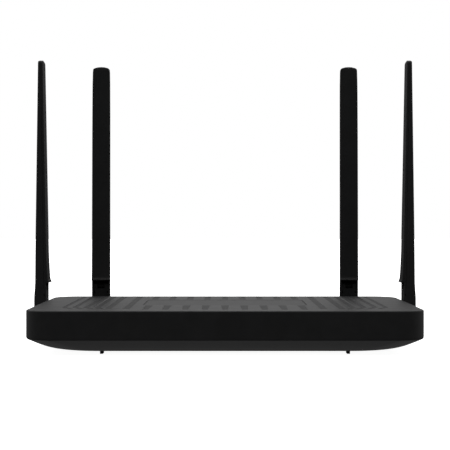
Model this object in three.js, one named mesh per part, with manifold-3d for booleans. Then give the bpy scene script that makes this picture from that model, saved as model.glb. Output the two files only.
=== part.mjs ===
// Four-antenna wireless router, millimetres, +Z up.
// Origin: centre of the overall footprint on the table, with the feet standing at z = 0.
// Front of the housing faces -Y, the sockets face +Y.
import * as THREE from "three";
import { mergeVertices } from "three/addons/utils/BufferGeometryUtils.js";
import Module from "manifold-3d";

// ---------------------------------------------------------------- driving dimensions
const BODY_W = 239.3; // housing width at the front wall
const BODY_TAPER = 0.0065; // each side wall opens by this much per millimetre of depth
const BODY_D = 140; // housing depth, front wall to rear wall
const ANT_BACK = 11; // how far an antenna reaches out from its wall
const FRONT_Y = -(BODY_D + ANT_BACK) / 2; // front wall plane
const REAR_Y = FRONT_Y + BODY_D;
const R_FRONT = 14; // plan radius of the front corners
const R_REAR = 16; // plan radius of the rear corners
const FOOT_H = 2.3; // underside height above the table
const EDGE_Z = 9.7; // lower edge of the side walls, where the covers part
const SIDE_SOFT = 0.6; // how far the side walls turn in at that edge
const RIM_Z = 11.4; // top of the bottom cover's inner rim
const TOP_Z = 27.2; // flat top face
const WALL = 2.0;
const PART_GAP = 0.3;
const HULL_SIDE = 17.5; // how far the underside sweeps in from the side walls
const HULL_FRONT = 10.3;
const HULL_REAR = 6;

const GROOVE_DEPTH = 0.3;
const GROOVE_FRONT = 14.5; // groove ends, measured from the front wall
const GROOVE_REAR = 131;
const PLATE_HX = 51.8; // blank badge plate
const PLATE_Y0 = 49.6;
const PLATE_Y1 = 97.4;
const PLATE_T = 0.9;

const PCB_Z = 9.6;
const PCB_T = 1.6;
const PCB_TOP = PCB_Z + PCB_T;

const REAR_ANT_X = 89.1; // rear antenna axes
const SIDE_ANT_D = 115; // side antenna axes, behind the front wall
const SIDE_ANT_X = 120.45; // outer face of the side walls at those axes
const PIVOT_Z = 18.3; // height of swivel and fold axes
const EAR_R = 4.1; // barrel around the fold pin
const PIN_V = 6.8; // fold pin, out from the wall
const ANT_TOP = 191.8;
const COVER_Z = 38.3; // lower lip of the antenna's front cover
const CHEEK_V = PIN_V - EAR_R; // front edges of the shell's cheeks

const JACK_H = 13.4;
const JACK_D = 18;
const JACK_Y = REAR_Y - WALL - 0.3; // face of the sockets
const WAN_X = 33;
const LAN_X = -12;
const LAN_PITCH = 14;
const DC_X = 66;
const POWER_X = 51;
const WPS_X = -58;
const BUTTON_Z = 17.6;

const SCREWS = [
  [-84, 22],
  [84, 22],
  [-70, 104],
  [70, 104],
];
const KEYHOLE_X = 45;
const KEYHOLE_D = 66;
const FOOT_X = 74.65;
const FOOT_W = 1.95;
const FOOT_FRONT = [15.6, 21.6];
const FOOT_REAR = [117, 123];

// ---------------------------------------------------------------- materials
const mat = (color, roughness, metalness = 0) =>
  new THREE.MeshStandardMaterial({ color, roughness, metalness });
const BLACK = mat(0x17181a, 0.55);
const ANTENNA = mat(0x141517, 0.6);
const PLATE = mat(0x1b1c1e, 0.5);
const RUBBER = mat(0x0c0c0d, 0.9);
const STEEL = mat(0x9a9c9f, 0.35, 1);
const BOARD = mat(0x17452b, 0.5);
const CHIP = mat(0x1a1a1c, 0.6);
const TIN = mat(0xa7a9ab, 0.35, 1);
const ALU = mat(0xb5b7ba, 0.4, 1);
const JACK = mat(0x0e0e10, 0.45);
const COAX = mat(0x6b6d70, 0.6);
const COPPER = mat(0xb0733f, 0.4, 1);
const BUTTON = mat(0x1d1e20, 0.5);

// ---------------------------------------------------------------- solids
const wasm = await Module();
wasm.setup();

// A closed geometry as a solid; the faces are turned outward if needed.
function solid(geometry) {
  const g = geometry.index ? geometry.clone() : mergeVertices(geometry.clone(), 1e-4);
  g.deleteAttribute("normal");
  g.deleteAttribute("uv");
  const m = mergeVertices(g, 1e-4);
  const src = m.index.array;
  const tri = [];
  for (let i = 0; i < src.length; i += 3) {
    const [a, b, c] = [src[i], src[i + 1], src[i + 2]];
    if (a !== b && b !== c && c !== a) tri.push(a, b, c);
  }
  const build = (t) =>
    new wasm.Manifold(
      new wasm.Mesh({
        numProp: 3,
        vertProperties: new Float32Array(m.attributes.position.array),
        triVerts: new Uint32Array(t),
      }),
    );
  const made = build(tri);
  if (made.volume() >= 0) return made;
  for (let i = 0; i < tri.length; i += 3) [tri[i + 1], tri[i + 2]] = [tri[i + 2], tri[i + 1]];
  return build(tri);
}

function geometryOf(manifold) {
  const m = manifold.getMesh();
  const g = new THREE.BufferGeometry();
  g.setAttribute("position", new THREE.BufferAttribute(new Float32Array(m.vertProperties), 3));
  g.setIndex(new THREE.BufferAttribute(new Uint32Array(m.triVerts), 1));
  g.computeVertexNormals();
  return g;
}

const join = (first, ...rest) => rest.reduce((a, b) => a.add(b), first);
const cut = (first, ...rest) => rest.reduce((a, b) => a.subtract(b), first);

// Box between two corners.
function box(x0, x1, y0, y1, z0, z1) {
  const g = new THREE.BoxGeometry(x1 - x0, y1 - y0, z1 - z0);
  g.translate((x0 + x1) / 2, (y0 + y1) / 2, (z0 + z1) / 2);
  return solid(g);
}

// Cylinder along an axis, from a to b on that axis, centred on the other two coordinates.
function rod(axis, r, a, b, c1, c2, segments = 16) {
  const g = new THREE.CylinderGeometry(r, r, b - a, segments);
  const mid = (a + b) / 2;
  if (axis === "x") {
    g.rotateZ(Math.PI / 2);
    g.translate(mid, c1, c2);
  } else if (axis === "y") {
    g.translate(c1, mid, c2);
  } else {
    g.rotateX(Math.PI / 2);
    g.translate(c1, c2, mid);
  }
  return solid(g);
}

const shapeOf = (points) => new THREE.Shape(points.map(([a, b]) => new THREE.Vector2(a, b)));

// Prism of an (x, y) outline between two heights.
function prismZ(points, z0, z1) {
  const g = new THREE.ExtrudeGeometry(shapeOf(points), { depth: z1 - z0, bevelEnabled: false });
  g.translate(0, 0, z0);
  return solid(g);
}

// Prism of an (x, z) outline between two y planes.
function prismY(points, y0, y1) {
  const g = new THREE.ExtrudeGeometry(shapeOf(points), { depth: y1 - y0, bevelEnabled: false });
  g.rotateX(Math.PI / 2);
  g.translate(0, y1, 0);
  return solid(g);
}

// Prism of a (y, z) outline between two x planes.
function prismX(points, x0, x1) {
  const g = new THREE.ExtrudeGeometry(shapeOf(points), { depth: x1 - x0, bevelEnabled: false });
  const turn = new THREE.Matrix4().makeBasis(
    new THREE.Vector3(0, 1, 0),
    new THREE.Vector3(0, 0, 1),
    new THREE.Vector3(1, 0, 0),
  );
  g.applyMatrix4(turn);
  g.translate(x0, 0, 0);
  return solid(g);
}

// Skin through a stack of rings with equal point counts, closed by flat caps.
function loft(rings) {
  const n = rings[0].length;
  const position = [];
  const index = [];
  rings.forEach((ring) => ring.forEach((p) => position.push(...p)));
  for (let i = 0; i < rings.length - 1; i++) {
    for (let j = 0; j < n; j++) {
      const a = i * n + j;
      const b = i * n + ((j + 1) % n);
      index.push(a, b, b + n, a, b + n, a + n);
    }
  }
  const cap = (ring, base, up) => {
    const faces = THREE.ShapeUtils.triangulateShape(
      ring.map((p) => new THREE.Vector2(p[0], p[1])),
      [],
    );
    for (const [a, b, c] of faces) {
      if (up) index.push(base + a, base + b, base + c);
      else index.push(base + a, base + c, base + b);
    }
  };
  cap(rings[0], 0, false);
  cap(rings[rings.length - 1], (rings.length - 1) * n, true);
  const g = new THREE.BufferGeometry();
  g.setAttribute("position", new THREE.BufferAttribute(new Float32Array(position), 3));
  g.setIndex(index);
  return solid(g);
}

const CORNER_STEPS = 7;
// Plan outline with rounded corners, counter-clockwise from above. d0 and d1 are depths behind the front wall.
function outline(hx, d0, d1, rf, rr, steps = CORNER_STEPS) {
  const points = [];
  const corner = (cx, cy, r, from) => {
    for (let i = 0; i <= steps; i++) {
      const a = from + (i / steps) * (Math.PI / 2);
      const y = cy + r * Math.sin(a);
      const x = cx + r * Math.cos(a);
      points.push([x + Math.sign(x) * (y - FRONT_Y) * BODY_TAPER, y]);
    }
  };
  const y0 = FRONT_Y + d0;
  const y1 = FRONT_Y + d1;
  corner(-hx + rf, y0 + rf, rf, Math.PI);
  corner(hx - rf, y0 + rf, rf, 1.5 * Math.PI);
  corner(hx - rr, y1 - rr, rr, 0);
  corner(-hx + rr, y1 - rr, rr, 0.5 * Math.PI);
  return points;
}
const at = (points, z) => points.map(([x, y]) => [x, y, z]);
// Housing outline pulled in evenly.
const inset = (e, steps, rear = 1) =>
  outline(BODY_W / 2 - e, e, BODY_D - e * rear, Math.max(R_FRONT - e, 0.8), Math.max(R_REAR - e, 0.8), steps);

// Rectangle with rounded ends or corners, as an outline.
function roundRect(x0, x1, y0, y1, r, steps = 3) {
  const points = [];
  const corner = (cx, cy, from) => {
    for (let i = 0; i <= steps; i++) {
      const a = from + (i / steps) * (Math.PI / 2);
      points.push([cx + r * Math.cos(a), cy + r * Math.sin(a)]);
    }
  };
  corner(x0 + r, y0 + r, Math.PI);
  corner(x1 - r, y0 + r, 1.5 * Math.PI);
  corner(x1 - r, y1 - r, 0);
  corner(x0 + r, y1 - r, 0.5 * Math.PI);
  return points;
}

const router = new THREE.Group();
function place(parent, name, manifold, material) {
  const mesh = new THREE.Mesh(geometryOf(manifold), material);
  mesh.name = name;
  parent.add(mesh);
  return mesh;
}

// ---------------------------------------------------------------- grooves of the top face
// Centre position, width, and how far the front end turns inward.
const GROOVES = [
  { x: 60, w: 4.2, hook: 0 },
  { x: 71.3, w: 4.2, hook: 0 },
  { x: 79, w: 3.6, hook: 4.2 },
  { x: 85.6, w: 3.0, hook: 5.2 },
  { x: 92.4, w: 2.6, hook: 6 },
  { x: 99, w: 2.4, hook: 6.4 },
];
const SHORT_GROOVES = [0, 12, 24, 36, 48];
const SHORT_FRONT = 9.5;
const HOOK_START = 27;

function grooveCutters() {
  const cutters = [];
  const z0 = TOP_Z - GROOVE_DEPTH;
  const add = (points) => cutters.push(prismZ(points.map(([x, d]) => [x, FRONT_Y + d]), z0, TOP_Z + 1));
  for (const x of SHORT_GROOVES) {
    for (const side of x === 0 ? [1] : [-1, 1]) {
      const c = x * side;
      const plan = (front, h, rear) => [[c - 1.6, front], [c + 1.6, front], [c + h, rear], [c - h, rear]].map(([x, d]) => [x, FRONT_Y + d]);
      const brim = plan(SHORT_FRONT, 2.4, PLATE_Y0 - 4);
      cutters.push(loft([at(plan(SHORT_FRONT, 2.25, PLATE_Y0 - 10), z0), at(brim, TOP_Z), at(brim, TOP_Z + 1)]));
      add([[c - 2.05, PLATE_Y1 + 4.6], [c + 2.05, PLATE_Y1 + 4.6], [c + 2.05, GROOVE_REAR], [c - 2.05, GROOVE_REAR]]);
    }
  }
  for (const { x, w, hook } of GROOVES) {
    for (const side of [-1, 1]) {
      const h = w / 2;
      const right = [];
      if (hook) {
        right.push([x - hook + h, GROOVE_FRONT], [x + h, HOOK_START], [x + h, GROOVE_REAR - 2], [x + h - 2, GROOVE_REAR]);
        right.push([x - h, GROOVE_REAR], [x - h, HOOK_START + 1.5], [x - hook - h, GROOVE_FRONT]);
      } else {
        right.push([x - h, GROOVE_FRONT], [x + h, GROOVE_FRONT], [x + h, GROOVE_REAR], [x - h, GROOVE_REAR]);
      }
      add(side > 0 ? right : right.map(([px, d]) => [-px, d]).reverse());
    }
  }
  return cutters;
}

// ---------------------------------------------------------------- top cover
{
  const sides = (e) => outline(BODY_W / 2 - e, 0.1 * e, BODY_D - 0.1 * e, R_FRONT, R_REAR);
  const rings = [
    at(sides(SIDE_SOFT), EDGE_Z + PART_GAP / 2),
    at(sides(SIDE_SOFT * 0.4), EDGE_Z + 0.45),
    at(sides(SIDE_SOFT * 0.1), EDGE_Z + 0.9),
    at(inset(0), EDGE_Z + 1.4),
    at(inset(0), TOP_Z - 1.0),
    at(inset(0.12), TOP_Z - 0.58),
    at(inset(0.4), TOP_Z - 0.29),
    at(inset(0.9), TOP_Z - 0.13),
    at(inset(1.8, CORNER_STEPS, 1.3), TOP_Z - 0.05),
    at(inset(4.0, CORNER_STEPS, 1.5), TOP_Z),
  ];
  const inner = loft([at(inset(WALL, 4), EDGE_Z - 3), at(inset(WALL, 4), TOP_Z - WALL)]);
  let cover = cut(loft(rings), inner, ...grooveCutters());
  // pocket for the badge plate
  const pocket = roundRect(-PLATE_HX - 0.4, PLATE_HX + 0.4, FRONT_Y + PLATE_Y0 - 0.4, FRONT_Y + PLATE_Y1 + 0.4, 2.4);
  cover = cut(cover, prismZ(pocket, TOP_Z - PLATE_T - 0.3, TOP_Z + 1));
  // socket windows in the rear wall
  const wy0 = REAR_Y - WALL - 1;
  const wy1 = REAR_Y + 1;
  const windows = [];
  const port = (cx) => box(cx - 6.6, cx + 6.6, wy0, wy1, PCB_TOP + 0.6, PCB_TOP + 12.6);
  windows.push(port(WAN_X));
  for (let i = 0; i < 4; i++) windows.push(port(LAN_X + (i - 1.5) * LAN_PITCH));
  windows.push(rod("y", 4.6, wy0, wy1, DC_X, PCB_TOP + 6.5, 20));
  windows.push(rod("y", 3.6, wy0, wy1, POWER_X, BUTTON_Z, 18));
  windows.push(rod("y", 2.8, wy0, wy1, WPS_X, BUTTON_Z, 16));
  // swivel holes: two in the rear wall, one in each side wall
  for (const s of [-1, 1]) {
    windows.push(rod("y", 4.15, wy0, wy1, s * REAR_ANT_X, PIVOT_Z, 20));
    windows.push(rod("x", 4.15, s > 0 ? 117 : -122, s > 0 ? 122 : -117, FRONT_Y + SIDE_ANT_D, PIVOT_Z, 20));
  }
  cover = cut(cover, ...windows);
  // screw bosses
  for (const [x, d] of SCREWS) {
    const y = FRONT_Y + d;
    cover = join(cover, rod("z", 3.1, PCB_TOP + 0.35, TOP_Z - WALL + 0.6, x, y, 12));
    cover = cut(cover, rod("z", 1.5, PCB_TOP - 1, 21, x, y, 10));
  }
  place(router, "top_cover", cover, BLACK);

  const plate = roundRect(-PLATE_HX, PLATE_HX, FRONT_Y + PLATE_Y0, FRONT_Y + PLATE_Y1, 2);
  place(router, "badge_plate", prismZ(plate, TOP_Z - PLATE_T - 0.1, TOP_Z - 0.1), PLATE);
}

// ---------------------------------------------------------------- bottom cover
{
  const drop = EDGE_Z - FOOT_H;
  // Outline at a share q of the way down the swept underside.
  const level = (q, e, dz, drop_) => {
    const side = 1 - Math.pow(1 - q, 0.476);
    const front = 1 - Math.pow(1 - q, 0.85);
    const round = Math.pow(q, 0.607);
    return at(
      outline(
        BODY_W / 2 - e - Math.max(SIDE_SOFT, HULL_SIDE * side),
        e + HULL_FRONT * front,
        BODY_D - e - HULL_REAR * front,
        R_FRONT - Math.min(e, 3) + 13 * round,
        R_REAR - Math.min(e, 3) + 11 * round,
      ),
      dz + drop_ * (1 - q),
    );
  };
  const steps = [1, 0.97, 0.88, 0.72, 0.52, 0.32, 0.14, 0];
  const hull = loft(steps.map((q) => level(q, 0, FOOT_H, drop - PART_GAP / 2)));
  const innerSteps = [1, 0.9, 0.65, 0.35, 0];
  const rim = cut(
    loft([at(inset(2.3, 4), EDGE_Z - 0.4), at(inset(2.3, 4), RIM_Z)]),
    box(-66, 74, REAR_Y - 8, REAR_Y + 2, 11, 14),
  );
  let tray = join(hull, rim);
  const hollow = loft([
    ...innerSteps.map((q) => level(q, 3.5, FOOT_H + WALL, 5.6)),
    at(outline(BODY_W / 2 - 3.5, 3.5, BODY_D - 3.5, R_FRONT - 3, R_REAR - 3), 14),
  ]);
  tray = cut(tray, hollow);
  tray = cut(tray, box(-66, 74, REAR_Y - 4.5, REAR_Y - 1.9, EDGE_Z + 0.1, 14));
  // cross rib under the sockets, which takes the push of a plug off the board
  tray = join(tray, box(-41, 41, FRONT_Y + 129.5, FRONT_Y + 131.5, FOOT_H + 0.8, PCB_Z - 0.3));
  for (const [x, d] of SCREWS) {
    const y = FRONT_Y + d;
    tray = join(tray, rod("z", 4.7, FOOT_H + 0.8, 6.6, x, y, 14), rod("z", 3.0, 6.4, PCB_Z - 0.3, x, y, 12));
    tray = cut(tray, rod("z", 3.3, 0, 4.9, x, y, 14), rod("z", 1.6, 0, 12, x, y, 10));
  }
  // seats for the feet
  for (const s of [-1, 1]) {
    for (const [d0, d1] of [FOOT_FRONT, FOOT_REAR]) {
      tray = cut(tray, box(s * FOOT_X - FOOT_W / 2 - 0.3, s * FOOT_X + FOOT_W / 2 + 0.3, FRONT_Y + d0 - 0.3, FRONT_Y + d1 + 0.3, 0, FOOT_H + 1.3));
    }
  }
  // wall-hanging keyholes: an 8.4 mm head hole and a 4.4 mm slot towards the rear
  for (const s of [-1, 1]) {
    const x = s * KEYHOLE_X;
    const y = FRONT_Y + KEYHOLE_D;
    tray = cut(tray, rod("z", 4.2, 0, 6, x, y, 16), prismZ(roundRect(x - 2.2, x + 2.2, y, y + 11, 2.19, 3), 0, 6));
  }
  // ventilation slots, two fields
  for (const [d0, d1] of [
    [20, 40],
    [92, 112],
  ]) {
    for (let i = -7; i <= 7; i++) {
      const x = i * 7;
      tray = cut(tray, box(x - 1.1, x + 1.1, FRONT_Y + d0, FRONT_Y + d1, 0, 6));
    }
  }
  // shallow blank label field
  tray = cut(tray, box(-32, 32, FRONT_Y + 50, FRONT_Y + 82, 0, FOOT_H + 0.3));
  place(router, "bottom_cover", tray, BLACK);

  for (const [name, s, [d0, d1]] of [
    ["foot_front_left", -1, FOOT_FRONT],
    ["foot_front_right", 1, FOOT_FRONT],
    ["foot_rear_left", -1, FOOT_REAR],
    ["foot_rear_right", 1, FOOT_REAR],
  ]) {
    place(router, name, box(s * FOOT_X - FOOT_W / 2, s * FOOT_X + FOOT_W / 2, FRONT_Y + d0, FRONT_Y + d1, 0, FOOT_H + 1.0), RUBBER);
  }
  SCREWS.forEach(([x, d], i) => {
    const y = FRONT_Y + d;
    let screw = join(rod("z", 2.8, 2.9, 4.7, x, y, 14), rod("z", 1.2, 4.5, 19, x, y, 10));
    screw = cut(screw, box(x - 1.7, x + 1.7, y - 0.35, y + 0.35, 2, 3.9), box(x - 0.35, x + 0.35, y - 1.7, y + 1.7, 2, 3.9));
    place(router, "cover_screw_" + (i + 1), screw, STEEL);
  });
}

// ---------------------------------------------------------------- electronics
{
  let board = prismZ(
    outline(103, 16, 136, 4, 4, 3),
    PCB_Z,
    PCB_TOP,
  );
  for (const [x, d] of SCREWS) board = cut(board, rod("z", 2.1, 8, 13, x, FRONT_Y + d, 12));
  place(router, "main_board", board, BOARD);

  const G = 0.15; // solder gap between the board and what sits on it
  const onBoard = (x0, x1, d0, d1, h) => box(x0, x1, FRONT_Y + d0, FRONT_Y + d1, PCB_TOP + G, PCB_TOP + G + h);
  place(router, "processor_chip", onBoard(-9, 9, 58, 76, 1.4), CHIP);
  // finned heat sink standing on the processor
  let sink = box(-14, 14, FRONT_Y + 53, FRONT_Y + 81, PCB_TOP + 1.75, PCB_TOP + 3.4);
  for (let i = 0; i < 6; i++) {
    const x = -13 + i * 4.96;
    sink = join(sink, box(x - 0.6, x + 0.6, FRONT_Y + 53, FRONT_Y + 81, PCB_TOP + 3.2, PCB_TOP + 9.4));
  }
  place(router, "heat_sink", sink, ALU);
  place(router, "memory_chip", onBoard(20, 31, 62, 75, 1.1), CHIP);
  place(router, "flash_chip", onBoard(38, 44, 64, 72, 1.6), CHIP);
  place(router, "radio_shield_2g", onBoard(-62, -32, 46, 78, 2.6), TIN);
  place(router, "radio_shield_5g", onBoard(-62, -32, 82, 106, 2.6), TIN);
  place(router, "lan_transformer", onBoard(-32, -4, 100, 112, 5.2), CHIP);
  place(router, "wan_transformer", onBoard(25, 41, 100, 110, 5.2), CHIP);

  // Socket cavity of an eight-pin modular jack: plug space, latch step and latch slot, open to the rear.
  const jackZ = PCB_TOP + G;
  const cavity = (cx) =>
    join(
      box(cx - 5.95, cx + 5.95, JACK_Y - 13.5, JACK_Y + 1, jackZ + 4.3, jackZ + 11.6),
      box(cx - 3.1, cx + 3.1, JACK_Y - 11, JACK_Y + 1, jackZ + 2.5, jackZ + 4.5),
      box(cx - 1.7, cx + 1.7, JACK_Y - 11, JACK_Y + 1, jackZ + 1.2, jackZ + 2.7),
    );
  place(
    router,
    "wan_jack",
    cut(box(WAN_X - 7.6, WAN_X + 7.6, JACK_Y - JACK_D, JACK_Y, jackZ, jackZ + JACK_H), cavity(WAN_X)),
    JACK,
  );
  let bank = box(LAN_X - 28.6, LAN_X + 28.6, JACK_Y - JACK_D, JACK_Y, jackZ, jackZ + JACK_H);
  for (let i = 0; i < 4; i++) bank = cut(bank, cavity(LAN_X + (i - 1.5) * LAN_PITCH));
  place(router, "lan_jack_bank", bank, JACK);

  // barrel power socket with its centre pin
  const dcZ = PCB_TOP + 6.5;
  let dc = join(
    box(DC_X - 4.6, DC_X + 4.6, JACK_Y - 13.5, JACK_Y, jackZ, PCB_TOP + 11.2),
    rod("y", 4.2, JACK_Y - 1, REAR_Y - 0.3, DC_X, dcZ, 20),
  );
  dc = cut(dc, rod("y", 3.2, JACK_Y - 9.5, REAR_Y + 1, DC_X, dcZ, 16));
  dc = join(dc, rod("y", 1.0, JACK_Y - 10, REAR_Y - 2.2, DC_X, dcZ, 10));
  place(router, "power_jack", dc, JACK);

  // push switches, each with a square bore for the cap's stem
  const switchBody = (cx, half, depth) =>
    cut(
      box(cx - half, cx + half, JACK_Y - 7 - depth, JACK_Y - 7, jackZ, PCB_TOP + 2 * (BUTTON_Z - PCB_TOP)),
      box(cx - 1.6, cx + 1.6, JACK_Y - 7 - depth + 1.6, JACK_Y - 6, BUTTON_Z - 1.6, BUTTON_Z + 1.6),
    );
  place(router, "power_switch", switchBody(POWER_X, 4.2, 9), CHIP);
  place(router, "wps_switch", switchBody(WPS_X, 3.2, 7), CHIP);
  place(
    router,
    "power_button",
    join(
      rod("y", 3.2, REAR_Y - 3.4, REAR_Y + 1.3, POWER_X, BUTTON_Z, 18),
      box(POWER_X - 1.3, POWER_X + 1.3, JACK_Y - 11, REAR_Y - 3, BUTTON_Z - 1.3, BUTTON_Z + 1.3),
    ),
    BUTTON,
  );
  place(
    router,
    "wps_button",
    join(
      rod("y", 2.4, REAR_Y - 3.2, REAR_Y + 0.7, WPS_X, BUTTON_Z, 16),
      box(WPS_X - 1.3, WPS_X + 1.3, JACK_Y - 10, REAR_Y - 3, BUTTON_Z - 1.3, BUTTON_Z + 1.3),
    ),
    BUTTON,
  );
}

// ---------------------------------------------------------------- antennas
// Each antenna is drawn in its own frame: x across the blade, v out from the wall it stands on, z up.
const backV = (z) => 10.22 - (z - 59) * 0.01427; // back face of the blade
const frontV = (z) => 2.45 + (z - 58.8) * 0.01925; // front face of the blade
const seamV = (z) => 4.2 + (z - COVER_Z) * 0.01433; // where front cover and back shell meet
const SEAM_GAP = 0.15;
// Half width of the blade by height.
const WIDTH = [
  [12, 6.45],
  [36, 6.45],
  [40, 6.49],
  [115, 6.49],
  [127, 6.47],
  [144.5, 6.44],
  [161.7, 6.38],
  [179, 6.28],
  [187.6, 6.08],
  [189.6, 5.95],
  [190.6, 5.35],
  [191.05, 4.6],
  [191.4, 3.3],
  [191.7, 2],
  [ANT_TOP, 0],
];
const bladeOutline = () => [...WIDTH, ...WIDTH.slice(0, -1).reverse().map(([x, z]) => [x, -z])].map(([z, x]) => [x, z]);

// Cross-section rings of the back shell: flat front, rounded back corners.
function shellRing(z, front, back, r) {
  const h = 6.15;
  const c = [0.29 * r, 0.04 * r];
  return [
    [-6.49, front, z],
    [6.49, front, z],
    [h, back - r, z],
    [h - c[1], back - 0.62 * r, z],
    [h - c[0], back - c[0], z],
    [h - 0.62 * r, back - c[1], z],
    [h - r, back, z],
    [-h + r, back, z],
    [-h + 0.62 * r, back - c[1], z],
    [-h + c[0], back - c[0], z],
    [-h + c[1], back - 0.62 * r, z],
    [-h, back - r, z],
  ];
}

function backShell() {
  const lower = loft([
    shellRing(PIVOT_Z, CHEEK_V, PIN_V + EAR_R, 0.4),
    shellRing(23.5, CHEEK_V, ANT_BACK, 1),
    shellRing(28.6, CHEEK_V, ANT_BACK, 1.3),
    shellRing(33, CHEEK_V, 10.7, 1.4),
    shellRing(COVER_Z - 0.3, CHEEK_V, 10.4, 1.4),
  ]);
  const upper = loft([
    shellRing(35, seamV(35), 10.5, 1.4),
    shellRing(COVER_Z - 0.3, seamV(COVER_Z), 10.4, 1.4),
    shellRing(45, seamV(45), 10.33, 1.4),
    shellRing(59, seamV(59), backV(59), 1.4),
    shellRing(125, seamV(125), backV(125), 1.3),
    shellRing(189.4, seamV(189.4), backV(189.4), 1),
    shellRing(190.9, seamV(190.9), backV(190.9) - 0.25, 0.9),
    shellRing(191.9, seamV(191.9), backV(191.9) - 0.8, 0.7),
  ]);
  let shell = join(lower, upper, rod("x", EAR_R, -6.45, 6.45, PIN_V, PIVOT_Z, 24));
  shell = shell.intersect(prismY(bladeOutline(), 0, 14));
  // hollow channel, open at the front between the cheeks
  const hollow = [
    [0, 24],
    [9.3, 24],
    [9.3, 30],
    [8.9, 38],
    [backV(59) - 1.25, 59],
    [backV(187) - 1.2, 187],
    [backV(188.4) - 1.25, 188.4],
    [seamV(188.4) - 1, 188.4],
    [seamV(COVER_Z) - 1, COVER_Z - 0.3],
    [0, COVER_Z - 0.3],
  ];
  return cut(
    shell,
    prismX(hollow, -5.15, 5.15),
    box(-2.7, 2.7, 1, 12, 12.5, 22.7), // fork
    rod("z", 1.0, 22, 27, 0, PIN_V, 8), // cable way
    rod("x", 1.5, -8, 8, PIN_V, PIVOT_Z, 12),
    rod("x", 0.45, 4.9, 8, CHEEK_V + 1.0, 29.8, 10),
    rod("x", 0.45, -8, -4.9, CHEEK_V + 1.0, 29.8, 10),
  );
}

// Front face with soft long edges, flaring into a lip at its lower end.
function coverRing(z, front, back, e = 1) {
  return [
    [-7, back, z],
    [-7, front + 0.6 * e, z],
    [-6.35, front + 0.15 * e, z],
    [-5.9, front, z],
    [5.9, front, z],
    [6.35, front + 0.15 * e, z],
    [7, front + 0.6 * e, z],
    [7, back, z],
  ];
}

function frontCover() {
  const back = (z) => seamV(z) - SEAM_GAP;
  const slab = loft([
    coverRing(COVER_Z, 0.75, back(COVER_Z)),
    coverRing(COVER_Z + 0.25, 0.55, back(COVER_Z)),
    coverRing(39.0, 0.62, back(39)),
    coverRing(39.5, 1.0, back(39.5)),
    coverRing(40.4, 1.25, back(40.4)),
    coverRing(42.2, 1.48, back(42.2)),
    coverRing(46.2, 1.84, back(46.2)),
    coverRing(51.5, 2.12, back(51.5)),
    coverRing(58.8, frontV(58.8), back(58.8)),
    coverRing(189.6, frontV(189.6), back(189.6)),
    coverRing(190.8, frontV(190.8) + 0.15, back(190.8), 0.8),
    coverRing(ANT_TOP + 0.2, frontV(ANT_TOP) + 0.6, back(ANT_TOP), 0.4),
  ]).intersect(prismY(bladeOutline(), 0, 14));
  return join(slab, box(-2.2, 2.2, 3.4, 5.2, COVER_Z, COVER_Z + 0.6), box(-2.2, 2.2, 4.6, 5.2, 33.6, COVER_Z + 0.3));
}

// Small cover between the cheeks, notched for the long cover's snap tab.
function neckCover() {
  return cut(
    box(-4.85, 4.85, CHEEK_V + 0.15, CHEEK_V + 1.35, 24.3, 35.8),
    box(-2.55, 2.55, 2, 6, 32.5, 37),
    rod("y", 0.75, 2, 6, -4.85, 29.8, 10),
    rod("y", 0.75, 2, 6, 4.85, 29.8, 10),
  );
}

function knuckle() {
  const profile = [
    [0, -5.5],
    [3.5, -5.5],
    [3.75, -5.2],
    [3.75, -3.3],
    [3.0, -3.3],
    [3.0, -2.35],
    [3.75, -2.35],
    [3.75, 0.3],
    [5.75, 0.3],
    [5.75, 1.95],
    [5.4, 2.3],
    [0, 2.3],
  ].map(([r, v]) => new THREE.Vector2(r, v));
  const turned = new THREE.LatheGeometry(profile, 20);
  turned.translate(0, 0, PIVOT_Z);
  const tongue = [[2.0, PIVOT_Z - 3.6]];
  for (let i = 0; i <= 8; i++) {
    const a = -Math.PI / 2 + (i / 8) * Math.PI;
    tongue.push([PIN_V + 3.6 * Math.cos(a), PIVOT_Z + 3.6 * Math.sin(a)]);
  }
  tongue.push([2.0, PIVOT_Z + 3.6]);
  return cut(
    join(solid(turned), prismX(tongue, -2.4, 2.4)),
    rod("y", 1.1, -6, 4.6, 0, PIVOT_Z, 8),
    box(-1.0, 1.0, 3.2, 4.8, PIVOT_Z, PIVOT_Z + 4),
    rod("x", 1.5, -8, 8, PIN_V, PIVOT_Z, 12),
  );
}

function clip() {
  const outer = [];
  const inner = [];
  const open = (35 * Math.PI) / 180;
  for (let i = 0; i <= 16; i++) {
    const a = -Math.PI / 2 + open + (i / 16) * (2 * Math.PI - 2 * open);
    outer.push([5.5 * Math.cos(a), PIVOT_Z + 5.5 * Math.sin(a)]);
    inner.push([3.3 * Math.cos(a), PIVOT_Z + 3.3 * Math.sin(a)]);
  }
  return prismY([...outer, ...inner.reverse()], -3.18, -2.48);
}

function radiator() {
  return join(box(-3.2, 3.2, 6.45, 6.95, 52, 165), rod("z", 0.6, 27.5, 54, 0, 6.7, 8));
}

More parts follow.
